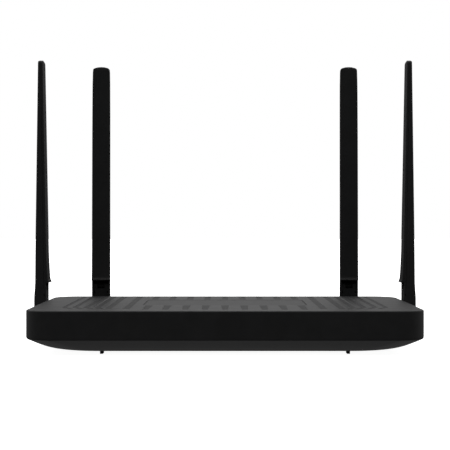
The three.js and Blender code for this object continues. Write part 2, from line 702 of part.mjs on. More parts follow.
for (const [name, x, y, turn] of [
  ["rear_left", -REAR_ANT_X, REAR_Y, 0],
  ["rear_right", REAR_ANT_X, REAR_Y, 0],
  ["side_left", -SIDE_ANT_X, FRONT_Y + SIDE_ANT_D, Math.PI / 2],
  ["side_right", SIDE_ANT_X, FRONT_Y + SIDE_ANT_D, -Math.PI / 2],
]) {
  const antenna = new THREE.Group();
  antenna.position.set(x, y, 0);
  antenna.rotation.z = turn;
  router.add(antenna);
  place(antenna, name + "_knuckle", knuckle(), BLACK);
  place(antenna, name + "_swivel_clip", clip(), STEEL);
  place(antenna, name + "_fold_pin", rod("x", 1.2, -5.7, 5.7, PIN_V, PIVOT_Z, 12), STEEL);
  place(antenna, name + "_back_shell", backShell(), ANTENNA);
  place(antenna, name + "_front_cover", frontCover(), ANTENNA);
  place(antenna, name + "_neck_cover", neckCover(), ANTENNA);
  place(antenna, name + "_radiator", radiator(), COPPER);
}

// ---------------------------------------------------------------- coaxial leads inside the housing
function lead(points) {
  const curve = new THREE.CatmullRomCurve3(points.map(([x, d, z]) => new THREE.Vector3(x, FRONT_Y + d, z)));
  const section = [];
  for (let i = 0; i < 8; i++) {
    const a = (i / 8) * 2 * Math.PI;
    section.push([0.65 * Math.cos(a), 0.65 * Math.sin(a)]);
  }
  return solid(
    new THREE.ExtrudeGeometry(shapeOf(section), { steps: 16, bevelEnabled: false, extrudePath: curve }),
  );
}
const REAR_LEAD = [
  [89.1, 133.7, 18.3],
  [89.2, 128, 17.9],
  [90.5, 118, 14.6],
  [92, 108, 12.5],
  [91.5, 98, 12.1],
  [89, 90, 12.1],
];
const SIDE_LEAD = [
  [114.2, 115, 18.3],
  [109, 114, 17.9],
  [103, 107, 14.8],
  [99.5, 97, 12.6],
  [98, 88, 12.1],
  [96, 80, 12.1],
];
for (const [name, points, s] of [
  ["rear_left_lead", REAR_LEAD, -1],
  ["rear_right_lead", REAR_LEAD, 1],
  ["side_left_lead", SIDE_LEAD, -1],
  ["side_right_lead", SIDE_LEAD, 1],
]) {
  place(router, name, lead(points.map(([x, d, z]) => [s * x, d, z])), COAX);
}

export default router;
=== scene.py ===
# Four-antenna wireless router: the visible surfaces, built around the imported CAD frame.
# Lengths in this file are millimetres until a mesh is handed over, which is when it becomes metres.
import math

import bmesh
import bpy
from mathutils import Matrix, Vector


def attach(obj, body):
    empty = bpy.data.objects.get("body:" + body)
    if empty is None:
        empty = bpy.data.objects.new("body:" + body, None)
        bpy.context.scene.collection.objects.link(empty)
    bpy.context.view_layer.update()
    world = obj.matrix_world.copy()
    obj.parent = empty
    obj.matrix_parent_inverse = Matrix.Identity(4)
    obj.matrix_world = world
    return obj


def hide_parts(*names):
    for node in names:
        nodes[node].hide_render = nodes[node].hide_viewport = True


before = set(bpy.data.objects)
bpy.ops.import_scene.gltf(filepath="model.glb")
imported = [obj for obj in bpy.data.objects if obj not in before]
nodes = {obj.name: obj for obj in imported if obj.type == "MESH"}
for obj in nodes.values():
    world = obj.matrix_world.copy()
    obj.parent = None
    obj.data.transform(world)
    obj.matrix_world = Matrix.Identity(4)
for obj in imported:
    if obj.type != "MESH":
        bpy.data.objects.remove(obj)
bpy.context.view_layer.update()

scene = bpy.context.scene

# ---------------------------------------------------------------- dimensions of the part
BODY_W, BODY_TAPER, BODY_D = 239.3, 0.0065, 140.0
ANT_BACK = 11.0
FRONT_Y = -(BODY_D + ANT_BACK) / 2
REAR_Y = FRONT_Y + BODY_D
R_FRONT, R_REAR = 14.0, 16.0
FOOT_H, EDGE_Z, TOP_Z, WALL = 2.3, 9.7, 27.2, 2.0
HULL_SIDE, HULL_FRONT, HULL_REAR = 17.5, 10.3, 6.0
GROOVE_DEPTH, GROOVE_FRONT, GROOVE_REAR = 0.3, 14.5, 131.0
GROOVE_SLOPE = 0.34  # run of a groove's sloping sides
PLATE_HX, PLATE_Y0, PLATE_Y1, PLATE_T = 51.8, 49.6, 97.4, 0.9
PCB_TOP = 11.2
REAR_ANT_X, SIDE_ANT_D, SIDE_ANT_X = 89.1, 115.0, 120.45
PIVOT_Z, EAR_R, PIN_V = 18.3, 4.1, 6.8
ANT_TOP, COVER_Z = 191.8, 38.3
CHEEK_V = PIN_V - EAR_R
JACK_H, JACK_D, JACK_Y = 13.4, 18.0, REAR_Y - WALL - 0.3
WAN_X, LAN_X, LAN_PITCH = 33.0, -12.0, 14.0
DC_X, POWER_X, WPS_X, BUTTON_Z = 66.0, 51.0, -58.0, 17.6
SCREWS = [(-84, 22), (84, 22), (-70, 104), (70, 104)]
KEYHOLE_X, KEYHOLE_D = 45.0, 66.0
FOOT_X, FOOT_W = 74.65, 1.95
FOOT_FRONT, FOOT_REAR = (15.6, 21.6), (117.0, 123.0)
SEAM = 0.05  # half of the visible seam between the two covers
SIDE_SOFT = 0.6  # how far the side walls turn in at their lower edge
SHORT_FRONT = 9.5  # front ends of the short grooves


# ---------------------------------------------------------------- meshes
def mesh_of(verts, faces):
    me = bpy.data.meshes.new("made")
    me.from_pydata([tuple(v) for v in verts], [], faces)
    bm = bmesh.new()
    bm.from_mesh(me)
    bmesh.ops.remove_doubles(bm, verts=bm.verts, dist=1e-5)
    bmesh.ops.recalc_face_normals(bm, faces=bm.faces)
    if bm.calc_volume(signed=True) < 0:
        bmesh.ops.reverse_faces(bm, faces=bm.faces)
    bm.to_mesh(me)
    bm.free()
    return me


def loft(rings):
    """Skin through rings with equal point counts, closed by flat caps."""
    n = len(rings[0])
    verts = [p for ring in rings for p in ring]
    faces = []
    for i in range(len(rings) - 1):
        for j in range(n):
            a, b = i * n + j, i * n + (j + 1) % n
            faces.append((a, b, b + n, a + n))
    last = (len(rings) - 1) * n
    faces.append(tuple(reversed(range(n))))
    faces.append(tuple(range(last, last + n)))
    return mesh_of(verts, faces)


def box(x0, x1, y0, y1, z0, z1):
    ring = [(x0, y0), (x1, y0), (x1, y1), (x0, y1)]
    return loft([[(x, y, z) for x, y in ring] for z in (z0, z1)])


def turned(profile, segments=48):
    """A (r, z) profile turned about Z; it starts and ends on the axis."""
    verts, faces, rows = [], [], []
    for r, z in profile:
        if r < 1e-9:
            rows.append([len(verts)])
            verts.append((0, 0, z))
        else:
            rows.append(list(range(len(verts), len(verts) + segments)))
            verts += [
                (r * math.cos(2 * math.pi * k / segments), r * math.sin(2 * math.pi * k / segments), z)
                for k in range(segments)
            ]
    for a, b in zip(rows, rows[1:]):
        for k in range(segments):
            m = (k + 1) % segments
            if len(a) == 1 and len(b) == 1:
                continue
            if len(a) == 1:
                faces.append((a[0], b[m], b[k]))
            elif len(b) == 1:
                faces.append((a[k], a[m], b[0]))
            else:
                faces.append((a[k], a[m], b[m], b[k]))
    return mesh_of(verts, faces)


def rod(axis, r, a, b, c1, c2, segments=40):
    me = turned([(0, a), (r, a), (r, b), (0, b)], segments)
    if axis == "x":
        me.transform(Matrix(((0, 0, 1, 0), (1, 0, 0, c1), (0, 1, 0, c2), (0, 0, 0, 1))))
    elif axis == "y":
        me.transform(Matrix(((0, 1, 0, c1), (0, 0, 1, 0), (1, 0, 0, c2), (0, 0, 0, 1))))
    else:
        me.transform(Matrix.Translation((c1, c2, 0)))
    return me


def prism_z(points, z0, z1):
    return loft([[(x, y, z) for x, y in points] for z in (z0, z1)])


def prism_y(points, y0, y1):
    """Prism of an (x, z) outline."""
    return loft([[(x, y, z) for x, z in points] for y in (y0, y1)])


def prism_x(points, x0, x1):
    """Prism of a (y, z) outline."""
    return loft([[(x, y, z) for y, z in points] for x in (x0, x1)])


def round_rect(x0, x1, y0, y1, r, steps=8):
    points = []
    for cx, cy, start in (
        (x0 + r, y0 + r, math.pi),
        (x1 - r, y0 + r, 1.5 * math.pi),
        (x1 - r, y1 - r, 0),
        (x0 + r, y1 - r, 0.5 * math.pi),
    ):
        for i in range(steps + 1):
            a = start + i / steps * math.pi / 2
            points.append((cx + r * math.cos(a), cy + r * math.sin(a)))
    return points


def temp(me):
    o = bpy.data.objects.new("temp", me)
    scene.collection.objects.link(o)
    return o


def baked(o):
    bpy.context.view_layer.update()
    dg = bpy.context.evaluated_depsgraph_get()
    return bpy.data.meshes.new_from_object(o.evaluated_get(dg), depsgraph=dg)


def volume(me):
    bm = bmesh.new()
    bm.from_mesh(me)
    v = bm.calc_volume(signed=True)
    loose = sum(1 for e in bm.edges if not e.is_manifold)
    bm.free()
    return v, loose


def combine(base, *steps):
    """Joins and cuts: each step is ("join" | "cut" | "keep", mesh, mesh, ...)."""
    o = temp(base)
    made = [o]
    for kind, *operands in steps:
        for me in operands:
            c = temp(me)
            made.append(c)
            m = o.modifiers.new("b", "BOOLEAN")
            m.operation = {"join": "UNION", "cut": "DIFFERENCE", "keep": "INTERSECT"}[kind]
            m.solver = "MANIFOLD"
            m.object = c
    me = baked(o)
    for t in made:
        bpy.data.objects.remove(t)
    v, loose = volume(me)
    if v <= 0 or loose:
        print(f"combine: volume {v:.1f}, {loose} open edges")
    return me


def soften(me, width, segments=2, angle=30.0, merge=0.004, flat=0.25):
    """Rounds the sharp edges and gives the flat faces flat shading."""
    bm = bmesh.new()
    bm.from_mesh(me)
    bmesh.ops.remove_doubles(bm, verts=bm.verts, dist=merge)
    bmesh.ops.dissolve_limit(
        bm, angle_limit=math.radians(flat), verts=bm.verts[:], edges=bm.edges[:], use_dissolve_boundaries=False
    )
    bm.to_mesh(me)
    bm.free()
    o = temp(me)
    if width > 0:
        m = o.modifiers.new("round", "BEVEL")
        m.width = width
        m.segments = segments
        m.limit_method = "ANGLE"
        m.angle_limit = math.radians(angle)
        m.use_clamp_overlap = False
        m.loop_slide = True
    made = baked(o)
    bpy.data.objects.remove(o)
    made.polygons.foreach_set("use_smooth", [True] * len(made.polygons))
    made.set_sharp_from_angle(angle=math.radians(50))
    o = temp(made)
    w = o.modifiers.new("normals", "WEIGHTED_NORMAL")
    w.mode = "FACE_AREA"
    w.weight = 50
    w.keep_sharp = True
    final = baked(o)
    bpy.data.objects.remove(o)
    return final


def spline(points, n=3):
    """Catmull-Rom through tuples, n steps to a span."""
    out = []
    for i in range(len(points) - 1):
        p0 = points[max(i - 1, 0)]
        p1, p2 = points[i], points[i + 1]
        p3 = points[min(i + 2, len(points) - 1)]
        for k in range(n):
            t = k / n
            out.append(
                tuple(
                    0.5
                    * (
                        2 * b
                        + (c - a) * t
                        + (2 * a - 5 * b + 4 * c - d) * t * t
                        + (3 * b - a - 3 * c + d) * t * t * t
                    )
                    for a, b, c, d in zip(p0, p1, p2, p3)
                )
            )
    out.append(tuple(points[-1]))
    return out


STEPS = 20


def outline(hx, d0, d1, rf, rr, steps=STEPS):
    points = []
    y0, y1 = FRONT_Y + d0, FRONT_Y + d1
    for cx, cy, r, start in (
        (-hx + rf, y0 + rf, rf, math.pi),
        (hx - rf, y0 + rf, rf, 1.5 * math.pi),
        (hx - rr, y1 - rr, rr, 0),
        (-hx + rr, y1 - rr, rr, 0.5 * math.pi),
    ):
        for i in range(steps + 1):
            a = start + i / steps * math.pi / 2
            x, y = cx + r * math.cos(a), cy + r * math.sin(a)
            points.append((x + math.copysign(1, x) * (y - FRONT_Y) * BODY_TAPER, y))
    return points


def at(points, z):
    return [(x, y, z) for x, y in points]


def inset(e, steps=STEPS, rear=1.0):
    return outline(
        BODY_W / 2 - e, e, BODY_D - e * rear, max(R_FRONT - e, 0.8), max(R_REAR - e, 0.8), steps
    )


# ---------------------------------------------------------------- materials
def tree_of(name):
    m = bpy.data.materials.new(name)
    m.use_nodes = True
    t = m.node_tree
    return m, t, t.nodes["Principled BSDF"]


def link(t, a, b):
    t.links.new(a, b)


def noise(t, vector, per_m, detail=2.0, rough=0.5):
    n = t.nodes.new("ShaderNodeTexNoise")
    n.inputs["Scale"].default_value = per_m
    n.inputs["Detail"].default_value = detail
    n.inputs["Roughness"].default_value = rough
    link(t, vector, n.inputs["Vector"])
    return n.outputs["Fac"]


def spread(t, value, lo, hi, to_lo, to_hi):
    n = t.nodes.new("ShaderNodeMapRange")
    n.inputs["From Min"].default_value = lo
    n.inputs["From Max"].default_value = hi
    n.inputs["To Min"].default_value = to_lo
    n.inputs["To Max"].default_value = to_hi
    link(t, value, n.inputs["Value"])
    return n.outputs["Result"]


def tint(t, fac, low, high):
    n = t.nodes.new("ShaderNodeMix")
    n.data_type = "RGBA"
    n.inputs["A"].default_value = (*low, 1)
    n.inputs["B"].default_value = (*high, 1)
    link(t, fac, n.inputs["Factor"])
    return n.outputs["Result"]


def bump(t, shader, height, strength, depth_mm, normal=None):
    n = t.nodes.new("ShaderNodeBump")
    n.inputs["Strength"].default_value = strength
    n.inputs["Distance"].default_value = depth_mm * 0.001
    link(t, height, n.inputs["Height"])
    if normal:
        link(t, normal, n.inputs["Normal"])
    if shader:
        link(t, n.outputs["Normal"], shader.inputs["Normal"])
    return n.outputs["Normal"]


def where(t):
    return t.nodes.new("ShaderNodeTexCoord").outputs["Object"]


def moulded(name, low, high, rough, grain_mm, depth_mm, spec, cloud_mm=9.0, strength=0.35):
    """Moulded plastic with a fine eroded grain: colour clouds, roughness and bump from noise."""
    m, t, s = tree_of(name)
    p = where(t)
    grain = noise(t, p, 1000 / grain_mm, 2.0, 0.55)
    clouds = noise(t, p, 1000 / cloud_mm, 3.0, 0.5)
    link(t, tint(t, spread(t, clouds, 0.3, 0.7, 0, 1), low, high), s.inputs["Base Color"])
    both = t.nodes.new("ShaderNodeMath")
    both.operation = "ADD"
    link(t, spread(t, grain, 0.3, 0.7, rough[0], rough[1]), both.inputs[0])
    link(t, spread(t, clouds, 0.3, 0.7, -0.02, 0.02), both.inputs[1])
    link(t, both.outputs[0], s.inputs["Roughness"])
    bump(t, s, grain, strength, depth_mm)
    s.inputs["Specular IOR Level"].default_value = spec
    return m


def grey(v):
    return (v, v, v * 1.02)


SPEC = 0.1655
HOUSING = moulded("housing_black", grey(0.0162), grey(0.0198), (0.456, 0.536), 0.32, 0.02, SPEC)
# Groove floors: the darker colour is painted shade in the grooves; the higher roughness and lower specular are their
# matte finish.
GROOVE_SHADE_AND_FINISH = moulded("housing_groove_shade_and_finish", grey(0.0139), grey(0.0163), (0.562, 0.642), 0.32, 0.03, SPEC * 0.885)
PLATE = moulded("plate_black", grey(0.0162), grey(0.0198), (0.495, 0.565), 0.22, 0.015, SPEC)
ANTENNA = moulded("antenna_black", grey(0.0149), grey(0.0183), (0.555, 0.635), 0.28, 0.02, 0.178)
BUTTON = moulded("button_black", grey(0.019), grey(0.024), (0.42, 0.5), 0.25, 0.012, 0.25)
JACK = moulded("jack_plastic", grey(0.010), grey(0.013), (0.34, 0.42), 0.4, 0.01, 0.3)
RUBBER = moulded("foot_rubber", grey(0.009), grey(0.012), (0.78, 0.88), 0.18, 0.02, 0.15)
CHIP = moulded("chip_black", grey(0.015), grey(0.021), (0.5, 0.62), 0.3, 0.012, 0.3)


def metal(name, low, high, rough, grain_mm, depth_mm=0.006, stretch=(1, 1, 1)):
    m, t, s = tree_of(name)
    p = where(t)
    scaled = t.nodes.new("ShaderNodeMapping")
    scaled.inputs["Scale"].default_value = stretch
    link(t, p, scaled.inputs["Vector"])
    p = scaled.outputs["Vector"]
    g = noise(t, p, 1000 / grain_mm, 4.0, 0.6)
    link(t, tint(t, spread(t, g, 0.3, 0.7, 0, 1), low, high), s.inputs["Base Color"])
    link(t, spread(t, g, 0.3, 0.7, rough[0], rough[1]), s.inputs["Roughness"])
    s.inputs["Metallic"].default_value = 1.0
    bump(t, s, g, 0.3, depth_mm)
    return m


STEEL = metal("screw_steel", (0.42, 0.42, 0.43), (0.56, 0.56, 0.58), (0.26, 0.4), 0.5)
TIN = metal("shield_tin", (0.5, 0.5, 0.51), (0.62, 0.62, 0.63), (0.28, 0.42), 1.4, 0.004, (1, 6, 1))
ALU = metal("sink_aluminium", (0.55, 0.56, 0.57), (0.68, 0.69, 0.7), (0.34, 0.5), 0.6, 0.006, (8, 1, 1))
COPPER = metal("radiator_copper", (0.5, 0.25, 0.12), (0.66, 0.36, 0.18), (0.3, 0.45), 1.2)
GOLD = metal("contact_gold", (0.72, 0.47, 0.15), (0.86, 0.6, 0.24), (0.26, 0.36), 2.5, 0.0008)


def board_material():
    """Solder mask over copper tracks, with rows of plated holes."""
    m, t, s = tree_of("board_green")
    p = where(t)
    tracks = t.nodes.new("ShaderNodeTexBrick")
    tracks.inputs["Scale"].default_value = 260
    tracks.inputs["Mortar Size"].default_value = 0.03
    tracks.inputs["Mortar Smooth"].default_value = 0.2
    tracks.inputs["Brick Width"].default_value = 0.9
    tracks.inputs["Row Height"].default_value = 0.28
    tracks.inputs["Color1"].default_value = (0.006, 0.050, 0.020, 1)
    tracks.inputs["Color2"].default_value = (0.007, 0.060, 0.025, 1)
    tracks.inputs["Mortar"].default_value = (0.014, 0.105, 0.045, 1)
    link(t, p, tracks.inputs["Vector"])
    holes = t.nodes.new("ShaderNodeTexVoronoi")
    holes.inputs["Scale"].default_value = 190
    link(t, p, holes.inputs["Vector"])
    dot = spread(t, holes.outputs["Distance"], 0.10, 0.14, 1, 0)
    mix = t.nodes.new("ShaderNodeMix")
    mix.data_type = "RGBA"
    link(t, dot, mix.inputs["Factor"])
    link(t, tracks.outputs["Color"], mix.inputs["A"])
    mix.inputs["B"].default_value = (0.45, 0.42, 0.30, 1)
    link(t, mix.outputs["Result"], s.inputs["Base Color"])
    g = noise(t, p, 700, 2.0)
    link(t, spread(t, g, 0.3, 0.7, 0.3, 0.42), s.inputs["Roughness"])
    bump(t, s, tracks.outputs["Fac"], 0.3, 0.03)
    return m


BOARD = board_material()


def coax_material():
    m, t, s = tree_of("coax_grey")
    p = where(t)
    g = noise(t, p, 2500, 2.0)
    link(t, tint(t, g, (0.10, 0.10, 0.105), (0.15, 0.15, 0.155)), s.inputs["Base Color"])
    link(t, spread(t, g, 0.3, 0.7, 0.45, 0.6), s.inputs["Roughness"])
    bump(t, s, g, 0.25, 0.02)
    return m


COAX = coax_material()

IN_FRAME = {
    "board_green": BOARD,
    "chip_black": CHIP,
    "shield_tin": TIN,
    "sink_aluminium": ALU,
    "coax_grey": COAX,
    "screw_steel": STEEL,
}
KEPT = {
    "board_green": ["main_board"],
    "chip_black": [
        "processor_chip",
        "memory_chip",
        "flash_chip",
        "lan_transformer",
        "wan_transformer",
        "power_switch",
        "wps_switch",
    ],
    "shield_tin": ["radio_shield_2g", "radio_shield_5g"],
    "sink_aluminium": ["heat_sink"],
    "coax_grey": ["rear_left_lead", "rear_right_lead", "side_left_lead", "side_right_lead"],
    "screw_steel": [a + "_swivel_clip" for a in ("rear_left", "rear_right", "side_left", "side_right")],
}
for slot, names in KEPT.items():
    for n in names:
        data = nodes[n].data
        data.materials.clear()
        data.materials.append(IN_FRAME[slot])


# ---------------------------------------------------------------- pieces
def piece(name, me, materials, body, stands_for=(), turn=None):
    """Hands a finished mesh over: millimetres become metres, and it rides on a CAD body."""
    me = me.copy()
    me.name = name
    if turn is not None:
        me.transform(turn)
    me.transform(Matrix.Scale(0.001, 4))
    index = [p.material_index for p in me.polygons]
    me.materials.clear()
    for m in materials if isinstance(materials, (list, tuple)) else [materials]:
        me.materials.append(m)
    me.polygons.foreach_set("material_index", index)
    o = bpy.data.objects.new(name, me)
    scene.collection.objects.link(o)
    if stands_for:
        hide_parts(*stands_for)
    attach(o, body)
    return o


# Centre position, width, and how far the front end turns inward.
GROOVES = [
    (60, 4.2, 0),
    (71.3, 4.2, 0),
    (79, 3.6, 4.2),
    (85.6, 3.0, 5.2),
    (92.4, 2.6, 6),
    (99, 2.4, 6.4),
]
SHORT_GROOVES = [0, 12, 24, 36, 48]
HOOK_START = 27


def rounded(points, r, steps=4):
    """The outline with its corners rounded."""
    out = []
    n = len(points)
    for i in range(n):
        p0, p, p1 = (Vector(points[i - 1]), Vector(points[i]), Vector(points[(i + 1) % n]))
        a, b = (p0 - p), (p1 - p)
        la, lb = a.length, b.length
        a.normalize()
        b.normalize()
        angle = a.angle(b)
        if angle > math.radians(176):
            out.append(tuple(p))
            continue
        cut = min(r / math.tan(angle / 2), 0.45 * la, 0.45 * lb)
        rr = cut * math.tan(angle / 2)
        centre = p + (a + b).normalized() * (rr / math.sin(angle / 2))
        s, e = p + a * cut - centre, p + b * cut - centre
        for k in range(steps + 1):
            v = s.lerp(e, k / steps)
            v = v.normalized() * rr
            out.append(tuple(centre + v))
    return out


def grown(points, d):
    """A counter-clockwise outline moved outward by d."""
    out = []
    n = len(points)
    for i in range(n):
        p0, p, p1 = (Vector(points[i - 1]), Vector(points[i]), Vector(points[(i + 1) % n]))
        a, b = (p - p0).normalized(), (p1 - p).normalized()
        na, nb = Vector((a.y, -a.x)), Vector((b.y, -b.x))
        out.append(tuple(p + (na + nb) * (d / (1 + na.dot(nb)))))
    return out


def groove_cutters():
    cutters = []
    z0 = TOP_Z - GROOVE_DEPTH

    def add(points):
        flat = [(x, FRONT_Y + d) for x, d in points]
        area = sum(a[0] * b[1] - b[0] * a[1] for a, b in zip(flat, flat[1:] + flat[:1]))
        if area < 0:
            flat.reverse()
        line = rounded(flat, 0.8)
        floor, brim = grown(line, -GROOVE_SLOPE / 2), grown(line, GROOVE_SLOPE / 2)
        cutters.append(loft([at(floor, z0), at(brim, TOP_Z), at(brim, TOP_Z + 1)]))

    for x in SHORT_GROOVES:
        for side in (1,) if x == 0 else (-1, 1):
            c = x * side
            lines = []
            for h, rear, grow in ((2.25, PLATE_Y0 - 10, -0.5), (2.4, PLATE_Y0 - 4, 0.5)):
                plan = [(c - 1.6, SHORT_FRONT), (c + 1.6, SHORT_FRONT), (c + h, rear), (c - h, rear)]
                plan = [(px, FRONT_Y + d) for px, d in plan]
                lines.append(grown(rounded(plan, 0.7), grow * GROOVE_SLOPE))
            cutters.append(loft([at(lines[0], z0), at(lines[1], TOP_Z), at(lines[1], TOP_Z + 1)]))
            d0, d1 = PLATE_Y1 + 4.6, GROOVE_REAR
            add([(c - 2.05, d0), (c + 2.05, d0), (c + 2.05, d1), (c - 2.05, d1)])
    for x, w, hook in GROOVES:
        for side in (-1, 1):
            h = w / 2
            if hook:
                right = [
                    (x - hook + h, GROOVE_FRONT),
                    (x + h, HOOK_START),
                    (x + h, GROOVE_REAR - 2),
                    (x + h - 2, GROOVE_REAR),
                    (x - h, GROOVE_REAR),
                    (x - h, HOOK_START + 1.5),
                    (x - hook - h, GROOVE_FRONT),
                ]
            else:
                right = [(x - h, GROOVE_FRONT), (x + h, GROOVE_FRONT), (x + h, GROOVE_REAR), (x - h, GROOVE_REAR)]
            add([(side * px, d) for px, d in right])
    return cutters


def top_cover():
    edge = spline([(0, 1.0, 1), (0.12, 0.58, 1), (0.4, 0.29, 1), (0.9, 0.13, 1), (1.8, 0.05, 1.3), (4.0, 0, 1.5)], 3)
    foot = spline([(1, SEAM), (0.4, 0.45), (0.1, 0.9), (0, 1.4)], 3)
    rings = [
        at(outline(BODY_W / 2 - SIDE_SOFT * e, 0.06 * e, BODY_D - 0.06 * e, R_FRONT, R_REAR), EDGE_Z + z) for e, z in foot
    ]
    rings += [at(inset(max(e, 0), rear=rear), TOP_Z - max(d, 0)) for e, d, rear in edge]
    base = loft(rings)
    inner = loft([at(inset(WALL, 6), EDGE_Z - 3), at(inset(WALL, 6), TOP_Z - WALL)])
    pocket = prism_z(
        round_rect(-PLATE_HX - 0.3, PLATE_HX + 0.3, FRONT_Y + PLATE_Y0 - 0.3, FRONT_Y + PLATE_Y1 + 0.3, 2.3),
        TOP_Z - PLATE_T - 0.3,
        TOP_Z + 1,
    )
    wy0, wy1 = REAR_Y - WALL - 1, REAR_Y + 1
    cuts = [inner, *groove_cutters(), pocket]
    for cx in [WAN_X] + [LAN_X + (i - 1.5) * LAN_PITCH for i in range(4)]:
        cuts.append(prism_y(round_rect(cx - 6.6, cx + 6.6, PCB_TOP + 0.6, PCB_TOP + 12.6, 0.5, 4), wy0, wy1))
    cuts.append(rod("y", 4.6, wy0, wy1, DC_X, PCB_TOP + 6.5, 48))
    cuts.append(rod("y", 3.5, wy0, wy1, POWER_X, BUTTON_Z, 40))
    cuts.append(rod("y", 2.7, wy0, wy1, WPS_X, BUTTON_Z, 40))
    for s in (-1, 1):
        cuts.append(rod("y", 4.05, wy0, wy1, s * REAR_ANT_X, PIVOT_Z, 40))
        cuts.append(rod("x", 4.05, 117 if s > 0 else -122, 122 if s > 0 else -117, FRONT_Y + SIDE_ANT_D, PIVOT_Z, 40))
    bosses, bores = [], []
    for x, d in SCREWS:
        bosses.append(rod("z", 3.1, PCB_TOP + 0.35, TOP_Z - WALL + 0.6, x, FRONT_Y + d, 24))
        bores.append(rod("z", 1.5, PCB_TOP - 1, 21, x, FRONT_Y + d, 20))
    me = combine(base, ("cut", *cuts), ("join", *bosses), ("cut", *bores))
    me = soften(me, 0.13, 2, 32)
    # Groove floors and the short grooves' run-outs take the second material, whose darker colour is painted shade.
    for p in me.polygons:
        depth = TOP_Z - p.center.z
        d = p.center.y - FRONT_Y
        run_out = 0.04 < depth and 30 < d < PLATE_Y0 - 3.5 and abs(p.center.x) < 51
        if p.normal.z > 0.9 and depth < GROOVE_DEPTH + 0.02 and (run_out or depth > GROOVE_DEPTH - 0.02):
            p.material_index = 1
    piece("upper_cover", me, [HOUSING, GROOVE_SHADE_AND_FINISH], "housing", ["top_cover"])


def badge():
    points = round_rect(-PLATE_HX, PLATE_HX, FRONT_Y + PLATE_Y0, FRONT_Y + PLATE_Y1, 2, 10)
    me = soften(prism_z(points, TOP_Z - PLATE_T - 0.1, TOP_Z - 0.1), 0.16, 3, 40)
    piece("blank_badge", me, PLATE, "housing", ["badge_plate"])


def bottom_cover():
    drop = EDGE_Z - FOOT_H

    def level(s, e, dz, height, steps=STEPS):
        side, front = 1 - s**0.476, 1 - s**0.85
        turn = (1 - s) ** 0.607
        return at(
            outline(
                BODY_W / 2 - e - max(SIDE_SOFT, HULL_SIDE * side),
                e + HULL_FRONT * front,
                BODY_D - e - HULL_REAR * front,
                R_FRONT - min(e, 3) + 13 * turn,
                R_REAR - min(e, 3) + 11 * turn,
                steps,
            ),
            dz + height * s,
        )

    levels = [(i / 22) ** 2 for i in range(23)]
    hull = loft([level(s, 0, FOOT_H, drop - SEAM) for s in levels])
    rim = combine(
        loft([at(inset(2.3, 6), EDGE_Z - 0.4), at(inset(2.3, 6), 11.4)]),
        ("cut", box(-66, 74, REAR_Y - 8, REAR_Y + 2, 11, 14)),
    )
    hollow = loft(
        [level(s, 3.5, FOOT_H + WALL, 5.6, 8) for s in (0, 0.1, 0.35, 0.65, 1)]
        + [at(outline(BODY_W / 2 - 3.5, 3.5, BODY_D - 3.5, R_FRONT - 3, R_REAR - 3, 8), 14)]
    )
    cuts = [hollow, box(-66, 74, REAR_Y - 4.5, REAR_Y - 1.9, EDGE_Z + 0.1, 14)]
    bosses, holes = [box(-41, 41, FRONT_Y + 129.5, FRONT_Y + 131.5, FOOT_H + 0.8, 9.3)], []
    for x, d in SCREWS:
        y = FRONT_Y + d
        bosses += [rod("z", 4.7, FOOT_H + 0.8, 6.6, x, y, 28), rod("z", 3.0, 6.4, 9.3, x, y, 24)]
        holes += [rod("z", 3.3, 0, 4.9, x, y, 32), rod("z", 1.6, 0, 12, x, y, 20)]
    for s in (-1, 1):
        for d0, d1 in (FOOT_FRONT, FOOT_REAR):
            holes.append(
                box(
                    s * FOOT_X - FOOT_W / 2 - 0.15,
                    s * FOOT_X + FOOT_W / 2 + 0.15,
                    FRONT_Y + d0 - 0.15,
                    FRONT_Y + d1 + 0.15,
                    0,
                    FOOT_H + 1.3,
                )
            )
        x, y = s * KEYHOLE_X, FRONT_Y + KEYHOLE_D
        holes += [rod("z", 4.2, 0, 6, x, y, 36), prism_z(round_rect(x - 2.2, x + 2.2, y, y + 11, 2.19, 8), 0, 6)]
    for d0, d1 in ((20, 40), (92, 112)):
        for i in range(-7, 8):
            x = i * 7
            holes.append(prism_z(round_rect(x - 1.1, x + 1.1, FRONT_Y + d0, FRONT_Y + d1, 1.09, 5), 0, 6))
    holes.append(prism_z(round_rect(-32, 32, FRONT_Y + 50, FRONT_Y + 82, 1.5, 5), 0, FOOT_H + 0.3))
    me = combine(hull, ("join", rim), ("cut", *cuts), ("join", *bosses), ("cut", *holes))
    me = soften(me, 0.12, 2, 32)
    piece("lower_cover", me, HOUSING, "housing", ["bottom_cover"])


def feet_and_screws():
    for name, s, (d0, d1) in (
        ("foot_front_left", -1, FOOT_FRONT),
        ("foot_front_right", 1, FOOT_FRONT),
        ("foot_rear_left", -1, FOOT_REAR),
        ("foot_rear_right", 1, FOOT_REAR),
    ):
        plan = round_rect(s * FOOT_X - FOOT_W / 2, s * FOOT_X + FOOT_W / 2, FRONT_Y + d0, FRONT_Y + d1, 0.45, 5)
        me = soften(prism_z(plan, 0, FOOT_H + 1.0), 0.22, 3, 40)
        piece(name + "_rubber", me, RUBBER, "housing", [name])
    for i, (x, d) in enumerate(SCREWS):
        y = FRONT_Y + d
        head = turned(
            [(0, 2.9), (1.6, 2.9), (2.35, 3.1), (2.72, 3.5), (2.8, 3.9), (2.8, 4.7), (1.2, 4.7), (1.2, 18.4), (0.6, 19), (0, 19)],
            40,
        )
        head.transform(Matrix.Translation((x, y, 0)))
        arms = [
            box(x - 1.7, x + 1.7, y - 0.33, y + 0.33, 2, 3.9),
            box(x - 0.33, x + 0.33, y - 1.7, y + 1.7, 2, 3.9),
            turned([(0, 2), (1.0, 2.4), (0.9, 3.2), (0, 4.3)], 16),
        ]
        arms[2].transform(Matrix.Translation((x, y, 0)))
        me = soften(combine(head, ("cut", *arms)), 0.05, 1, 35)
        piece(f"cover_screw_{i + 1}_steel", me, STEEL, "housing", [f"cover_screw_{i + 1}"])


